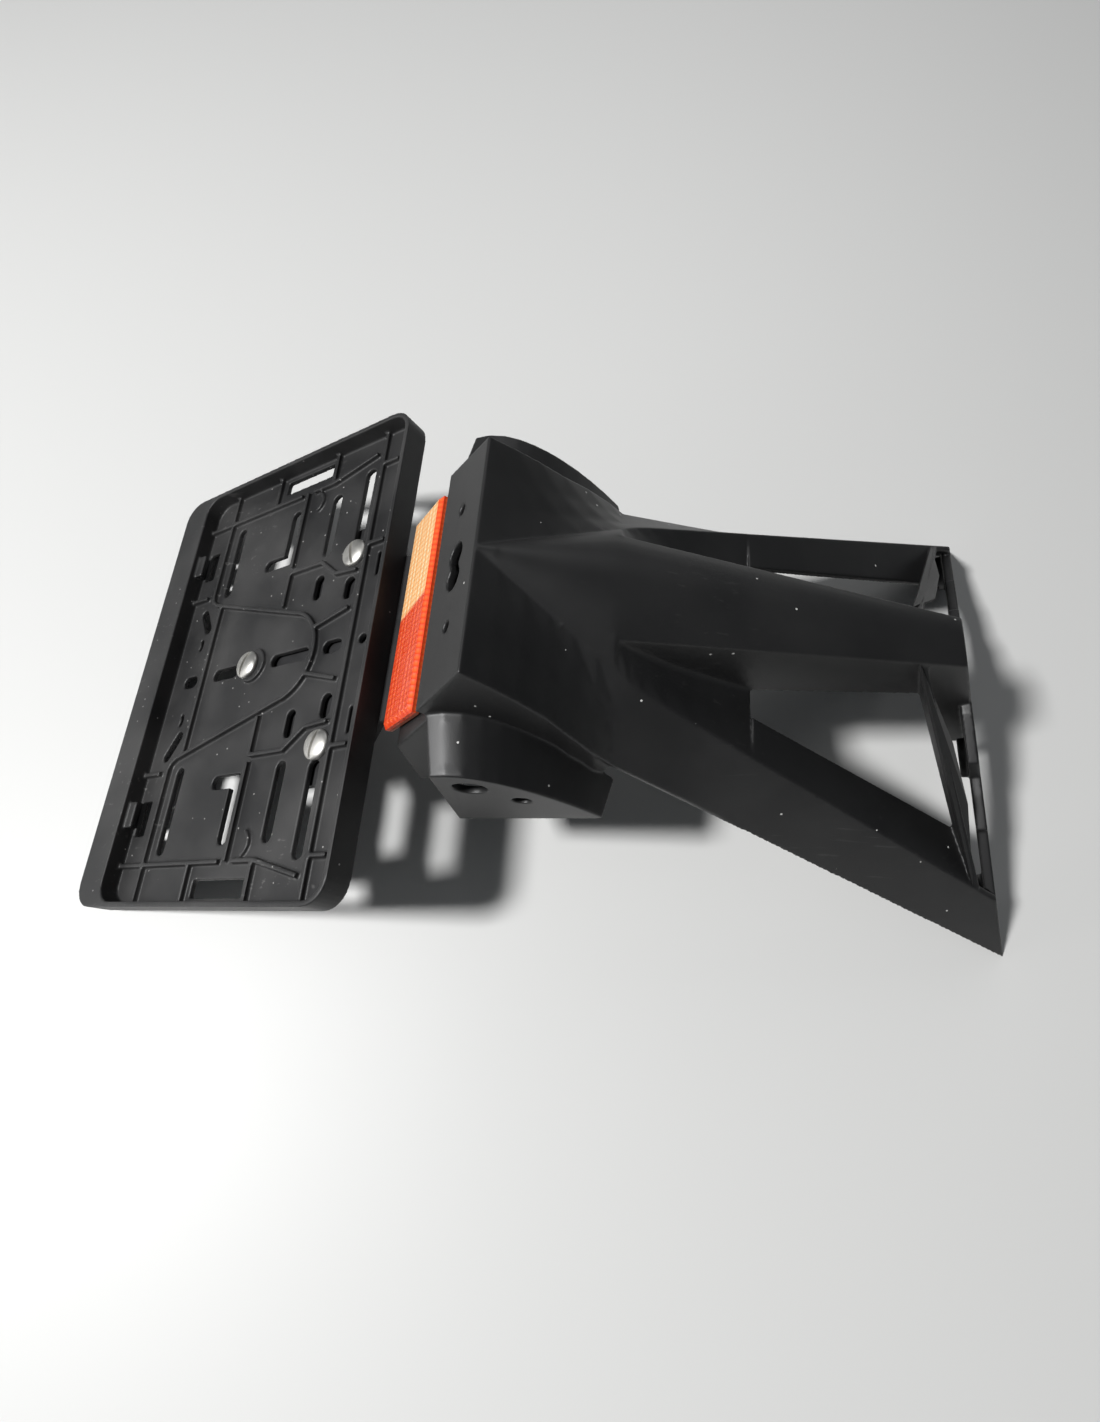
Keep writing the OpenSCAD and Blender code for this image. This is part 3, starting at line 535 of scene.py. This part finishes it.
# %% [markdown]
# The tray is drawn again in its own flat frame: u up the tray, v across it, w out of its
# back, all in millimetres. Every layer is a flat outline with holes, given a thickness.
# A filled 2D curve does that, because an outline inside another one becomes a hole.
# Four helpers draw outlines: an arc, a box with round corners, a line drawn with a pen of
# some width, and an outline with its mirror image.

# %% Tools for the tray's outlines
TRAY_SLOPE = math.radians(28.6)
TRAY_FOOT = Vector((-197.948, 0, 0)) * MM
TRAY_UP = Vector((math.cos(TRAY_SLOPE), 0, math.sin(TRAY_SLOPE)))
TRAY_OUT = Vector((-math.sin(TRAY_SLOPE), 0, math.cos(TRAY_SLOPE)))
SHARPEST_MITRE = 0.4


def tray_frame():
    """Matrix from the tray's u, v, w in millimetres to the scene."""
    lie = Matrix((TRAY_UP, Vector((0, 1, 0)), TRAY_OUT)).transposed().to_4x4()
    return Matrix.Translation(TRAY_FOOT) @ lie @ Matrix.Scale(MM, 4)


def arc(centre, radius, start, end, steps=10):
    """Points on a circle between two angles in degrees."""
    angles = [math.radians(start + (end - start) * k / steps) for k in range(steps + 1)]
    return [(centre[0] + radius * math.cos(a), centre[1] + radius * math.sin(a)) for a in angles]


def round_box(u0, u1, v0, v1, radius):
    """Outline of a rectangle with round corners."""
    corners = [((u1 - radius, v1 - radius), 0), ((u0 + radius, v1 - radius), 90),
               ((u0 + radius, v0 + radius), 180), ((u1 - radius, v0 + radius), 270)]
    return [point for centre, first in corners for point in arc(centre, radius, first, first + 90, 8)]


def stroke(path, width, round_ends=False):
    """Outline of a line drawn along a path with a pen of some width."""
    points = [Vector(point) for point in path]
    if round_ends:
        points[0] += (points[1] - points[0]).normalized() * width / 2
        points[-1] += (points[-2] - points[-1]).normalized() * width / 2
    ways = [(b - a).normalized() for a, b in zip(points, points[1:])]
    left_side, right_side = [], []
    for k, point in enumerate(points):
        before, after = ways[max(k - 1, 0)], ways[min(k, len(ways) - 1)]
        middle = (before + after).normalized()
        reach = width / 2 / max(SHARPEST_MITRE, middle.dot(after))
        side = Vector((-middle.y, middle.x)) * reach
        left_side.append(tuple(point + side))
        right_side.append(tuple(point - side))
    if not round_ends:
        return left_side + right_side[::-1]
    last = math.degrees(math.atan2(ways[-1].y, ways[-1].x))
    first = math.degrees(math.atan2(ways[0].y, ways[0].x))
    far_end = arc(points[-1], width / 2, last + 90, last - 90)
    near_end = arc(points[0], width / 2, first - 90, first - 270)
    return left_side[:-1] + far_end + right_side[-2:0:-1] + near_end[:-1]


def both(outline):
    """The outline and its mirror image across the middle of the tray."""
    return [outline, [(u, -v) for u, v in reversed(outline)]]


print("tray frame starts at", [round(value / MM, 1) for value in TRAY_FOOT])

# %% [markdown]
# A layer turns outlines into a mesh, and several meshes are joined into one piece. Points
# that lie on each other are merged, and the faces are turned to look outwards.

# %% Tools for thick layers
MERGE_GAP = 1e-4


def layer(outlines, low, high):
    """A mesh from outlines with holes, thick from low to high along w."""
    curve = bpy.data.curves.new("layer", "CURVE")
    curve.dimensions = "2D"
    curve.fill_mode = "BOTH"
    curve.extrude = (high - low) / 2
    for outline in outlines:
        line = curve.splines.new("POLY")
        line.points.add(len(outline) - 1)
        for place, point in zip(line.points, outline):
            place.co = (point[0], point[1], 0, 1)
        line.use_cyclic_u = True
    drawn = new_object("layer", curve)
    seen = drawn.evaluated_get(bpy.context.evaluated_depsgraph_get())
    mesh = bpy.data.meshes.new_from_object(seen)
    mesh.transform(Matrix.Translation((0, 0, (low + high) / 2)))
    bpy.data.objects.remove(drawn)
    bpy.data.curves.remove(curve)
    return mesh


def joined(name, meshes, place):
    """One object from several meshes, set at a place in the scene."""
    whole = bmesh.new()
    for mesh in meshes:
        whole.from_mesh(mesh)
        bpy.data.meshes.remove(mesh)
    bmesh.ops.remove_doubles(whole, verts=whole.verts, dist=MERGE_GAP)
    bmesh.ops.recalc_face_normals(whole, faces=whole.faces)
    bmesh.ops.transform(whole, matrix=place, verts=whole.verts)
    made = bpy.data.meshes.new(name)
    whole.to_mesh(made)
    whole.free()
    return new_object(name, made)


print("points nearer than", MERGE_GAP, "mm are merged")

# %% [markdown]
# Walls, slots, windows and ribs, as measured in the photograph. Slots and ribs off the
# middle are given once, for one side, and mirrored, because the tray is the same on both
# sides. A slot is a path and a width, and a rib is a path. The ribs stiffen the floor and
# carry the plate. The walls stand round them, and the low strip is a hollow box, open at
# the back.

# %% Sizes of the tray's walls, slots and ribs
TRAY_HIGH, TRAY_HALF, TRAY_DEEP = 164, 108.5, 11.5
STRIP_EDGE, STRIP_SKIN, RIM = 18.2, 2.5, 2.2
FLOOR_BACK, FLOOR_TOP = 1.0, 3.5
OVERLAP, SINK = 0.5, 1
RIB_HIGH, RIB_THICK = 2.2, 1.9
WINDOW_ROUND = 0.8
SIDE_SLOTS = [
    ([(43.8, 44.9), (43.8, 85.3)], 5.6), ([(115.5, 49), (115.5, 82.7)], 5.8),
    ([(135.8, 50.5), (135.8, 90)], 6.2), ([(70.6, 54.7), (86.8, 54.7), (86.8, 82.5)], 6.0),
    ([(115, 26.3), (115, 38.9)], 5.6), ([(135.6, 22), (135.6, 33)], 6.0),
    ([(27.6, 40.2), (36.2, 26.5)], 5.0), ([(151.2, 29.8), (151.2, 41.5)], 1.6),
]
MIDDLE_SLOTS = [
    ([(26.9, 0), (37.3, 0)], 6.0), ([(50.6, 0), (69.5, 0)], 6.0), ([(92.5, 0), (117.5, 0)], 6.0),
    ([(126.6, 0), (138, 0)], 6.0), ([(148, 0), (152.5, 0)], 4.2),
]
SIDE_WINDOW = (74, 107.6, 96.5, 104)
LOW_WINDOW = (19.6, 27.2, 59.5, 75.7)
CURVED_SLOT = arc((29.5, 20), 4, -50, 50, 6)
CURVED_SLOT_WIDE = 2.2
SIDE_RIBS = [
    [(35.8, 107), (35.8, 45.5), (36.8, 42.5), (40.5, 40)],
    [(41, 40), (107, 20.7)],
    [(94.4, 26.6), (94.4, 44.7)],
    [(94.4, 47.6), (94.4, 89.7)],
    [(94.5, 44.6), (116, 44.6), (127, 36), (140, 35)],
    [(17, 89.6), (90, 89.6)],
    [(98.5, 89.6), (112.5, 89.6), (139.8, 96.3)],
    [(17, 46.7), (30, 46.7)],
    [(143, 89), (154, 89)],
    [(143, 46.3), (154, 46.3)],
    [(70.1, 90), (70.1, 107)],
    [(112, 91), (112, 107)],
    [(120, 11), (139.5, 16.5)],
]
MIDDLE_RIBS = [[(44.1, -38), (44.1, 38)], [(144.4, -107), (144.4, 107)], arc((100.5, 0), 21.9, -72, 72, 20)]
CURVED_RIB = arc((100.5, 82.5), 5.6, -65, 65)
CURVED_RIB_THICK, CURVED_RIB_HIGH = 1.4, 1.5
CATCH = (STRIP_EDGE - 1, STRIP_EDGE + 5, 60.5, 72.5)
CATCH_ROUND, CATCH_LOW, CATCH_TOP = 0.6, 7.2, 8.6
BOSS_OUTLINE = arc((81, 0), 8.2, 0, 345, 23)
BOSS_HIGH = 1.6
print("slots:", len(MIDDLE_SLOTS) + 2 * len(SIDE_SLOTS), "ribs:", len(MIDDLE_RIBS) + 2 * len(SIDE_RIBS))

# %% [markdown]
# The walls come first: a top face round the recess, the walls below it with the strip's
# pocket, and the floor with its holes. Then come the ribs, the two catches that reach over
# the low windows and the raised pad under the low screw. All of them overlap a little,
# so that the remesh melts them into one moulding.

# %% Tray
TRAY_SMOOTH = 2

outside = round_box(0, TRAY_HIGH, -TRAY_HALF, TRAY_HALF, radius=11)
recess = round_box(STRIP_EDGE, TRAY_HIGH - RIM, RIM - TRAY_HALF, TRAY_HALF - RIM, radius=9)
floor_half = TRAY_HALF - RIM / 2
floor_edge = round_box(STRIP_EDGE - SINK, TRAY_HIGH - RIM / 2, -floor_half, floor_half, radius=10)
strip_pocket = round_box(RIM, STRIP_EDGE - RIM, RIM - TRAY_HALF, TRAY_HALF - RIM, radius=5)
holes = [stroke(path, width, True) for path, width in MIDDLE_SLOTS]
for path, width in SIDE_SLOTS:
    holes += both(stroke(path, width, True))
for window in (SIDE_WINDOW, LOW_WINDOW):
    holes += both(round_box(*window, WINDOW_ROUND))
holes += both(stroke(CURVED_SLOT, CURVED_SLOT_WIDE, True))
layers = [
    layer([outside, recess], TRAY_DEEP - STRIP_SKIN, TRAY_DEEP),
    layer([outside, recess, strip_pocket], 0, TRAY_DEEP - STRIP_SKIN + OVERLAP),
    layer([floor_edge] + holes, FLOOR_BACK, FLOOR_TOP),
]
ribs = [stroke(path, RIB_THICK) for path in MIDDLE_RIBS]
for path in SIDE_RIBS:
    ribs += both(stroke(path, RIB_THICK))
layers += [layer([outline], FLOOR_TOP - SINK, FLOOR_TOP + RIB_HIGH) for outline in ribs]
for outline in both(stroke(CURVED_RIB, CURVED_RIB_THICK)):
    layers.append(layer([outline], FLOOR_TOP - SINK, FLOOR_TOP + CURVED_RIB_HIGH))
for outline in both(round_box(*CATCH, CATCH_ROUND)):
    layers.append(layer([outline], CATCH_LOW, CATCH_TOP))
layers.append(layer([BOSS_OUTLINE], FLOOR_BACK, FLOOR_TOP + BOSS_HIGH))
tray = joined("tray_moulding", layers, tray_frame())
soft_skin(tray, TRAY_SMOOTH)
settle(tray, tray_plastic, "plate_tray")
print("tray faces:", len(tray.data.polygons))

# %% [markdown]
# The screws are slotted pan heads, about 13 mm wide. A head is half an ellipsoid on a short
# edge, with a slot cut by a Boolean. The shank below it reaches the nut behind the carrier.
# The shanks stay where the CAD nuts are, and each head sits where the photograph shows it.

# %% Pan head screws
HEAD_R, HEAD_EDGE, HEAD_DOME = 6.6, 0.8, 2.3
HEAD_UNDER, HEAD_CHAMFER, DOME_FLAT = 0.3, 0.25, 0.08
HEAD_SIDES, SHANK_SIDES, DOME_STEPS = 64, 24, 12
SLOT_WIDE, SLOT_LONG, SLOT_DEEP = 1.5, 16, 2.6
SHANK_R, SHANK_TIP_R, SHANK_END, SHANK_CONE = 2.5, 2.4, -9.0, -8.6
SHANK_REACH = 0.2
PAN_HEADS = [
    ("pan_head_left", "tray_screw_left", (135.6, -44.5), (138.5, -44), FLOOR_TOP, -14),
    ("pan_head_right", "tray_screw_right", (135.6, 44.5), (138.5, 44), FLOOR_TOP, 10),
    ("pan_head_low", "tray_screw_low", (79, 0), (79, 0), FLOOR_TOP + BOSS_HIGH, -20),
]


def turned_profile(profile, sides):
    """A closed mesh from a profile of radius and height, turned round the z axis."""
    body = bmesh.new()
    angles = np.linspace(0, math.tau, sides, False)
    rings = [[body.verts.new((r * math.cos(a), r * math.sin(a), z)) for a in angles] for r, z in profile]
    for low_ring, high_ring in zip(rings, rings[1:]):
        for k in range(sides):
            following = (k + 1) % sides
            body.faces.new((low_ring[k], low_ring[following], high_ring[following], high_ring[k]))
    body.faces.new(rings[0][::-1])
    body.faces.new(rings[-1])
    made = bpy.data.meshes.new("turned")
    body.to_mesh(made)
    body.free()
    return made


def slot_blade(place, height, slot_turn):
    """The cutter for a screw's slot, turned by an angle in degrees."""
    lie = Matrix.Translation((*place, height)) @ Matrix.Rotation(math.radians(slot_turn), 4, "Z")
    blade = bmesh.new()
    bmesh.ops.create_cube(blade, size=1)
    bmesh.ops.transform(blade, matrix=lie @ Matrix.Diagonal((SLOT_WIDE, SLOT_LONG, SLOT_DEEP, 1)),
                        verts=blade.verts)
    made = bpy.data.meshes.new("blade")
    blade.to_mesh(made)
    blade.free()
    return new_object("blade", made)


def add_mesh(piece, other):
    """Adds a mesh to a piece."""
    body = bmesh.new()
    body.from_mesh(piece.data)
    body.from_mesh(other)
    body.to_mesh(piece.data)
    body.free()
    bpy.data.meshes.remove(other)


def pan_screw(name, node, place, shank_place, seat, slot_turn):
    """A slotted pan head on the tray with its shank, standing in for a CAD screw."""
    rise = np.linspace(0, math.pi / 2 - DOME_FLAT, DOME_STEPS)
    dome = [(HEAD_R * math.cos(t), HEAD_EDGE + HEAD_DOME * math.sin(t)) for t in rise]
    head = turned_profile([(HEAD_R - HEAD_UNDER, 0), (HEAD_R, HEAD_CHAMFER)] + dome, HEAD_SIDES)
    head.transform(Matrix.Translation((*place, seat)))
    piece = joined(name, [head], Matrix.Identity(4))
    cutter = slot_blade(place, seat + HEAD_EDGE + HEAD_DOME, slot_turn)
    cut = piece.modifiers.new("slot", "BOOLEAN")
    cut.object = cutter
    cut.solver = "EXACT"
    apply_modifiers(piece)
    bpy.data.objects.remove(cutter)
    shank_line = [(SHANK_TIP_R, SHANK_END), (SHANK_R, SHANK_CONE), (SHANK_R, seat + SHANK_REACH)]
    shank = turned_profile(shank_line, SHANK_SIDES)
    shank.transform(Matrix.Translation((*shank_place, 0)))
    add_mesh(piece, shank)
    piece.data.transform(tray_frame())
    settle(piece, zinc_steel, node)


for pan_head in PAN_HEADS:
    pan_screw(*pan_head)
print("pan heads:", len(PAN_HEADS))

# %% [markdown]
# The carrier, the fasteners and the reflector keep their CAD meshes, because their shapes
# are right. Each only gets a finish in place of its plain colour.

# %% Finishes of the CAD nodes
FINISHES = {
    "carrier_paint": carrier_paint,
    "zinc_steel": zinc_steel,
    "dark_steel": dark_steel,
    "insert_brass": brass,
    "lens": lens,
    "lens_back": lens_back,
    "foam_tape": foam_tape,
    "shell_plastic": shell_plastic,
    "tray_plastic": tray_plastic,
}
dressed = 0
for part in frame["record"]["subparts"]:
    node = frame["nodes"][part["node"]]
    for place in node.material_slots:
        place.material = FINISHES[part["material_slot"]]
        dressed += 1
print("finished CAD slots:", dressed)
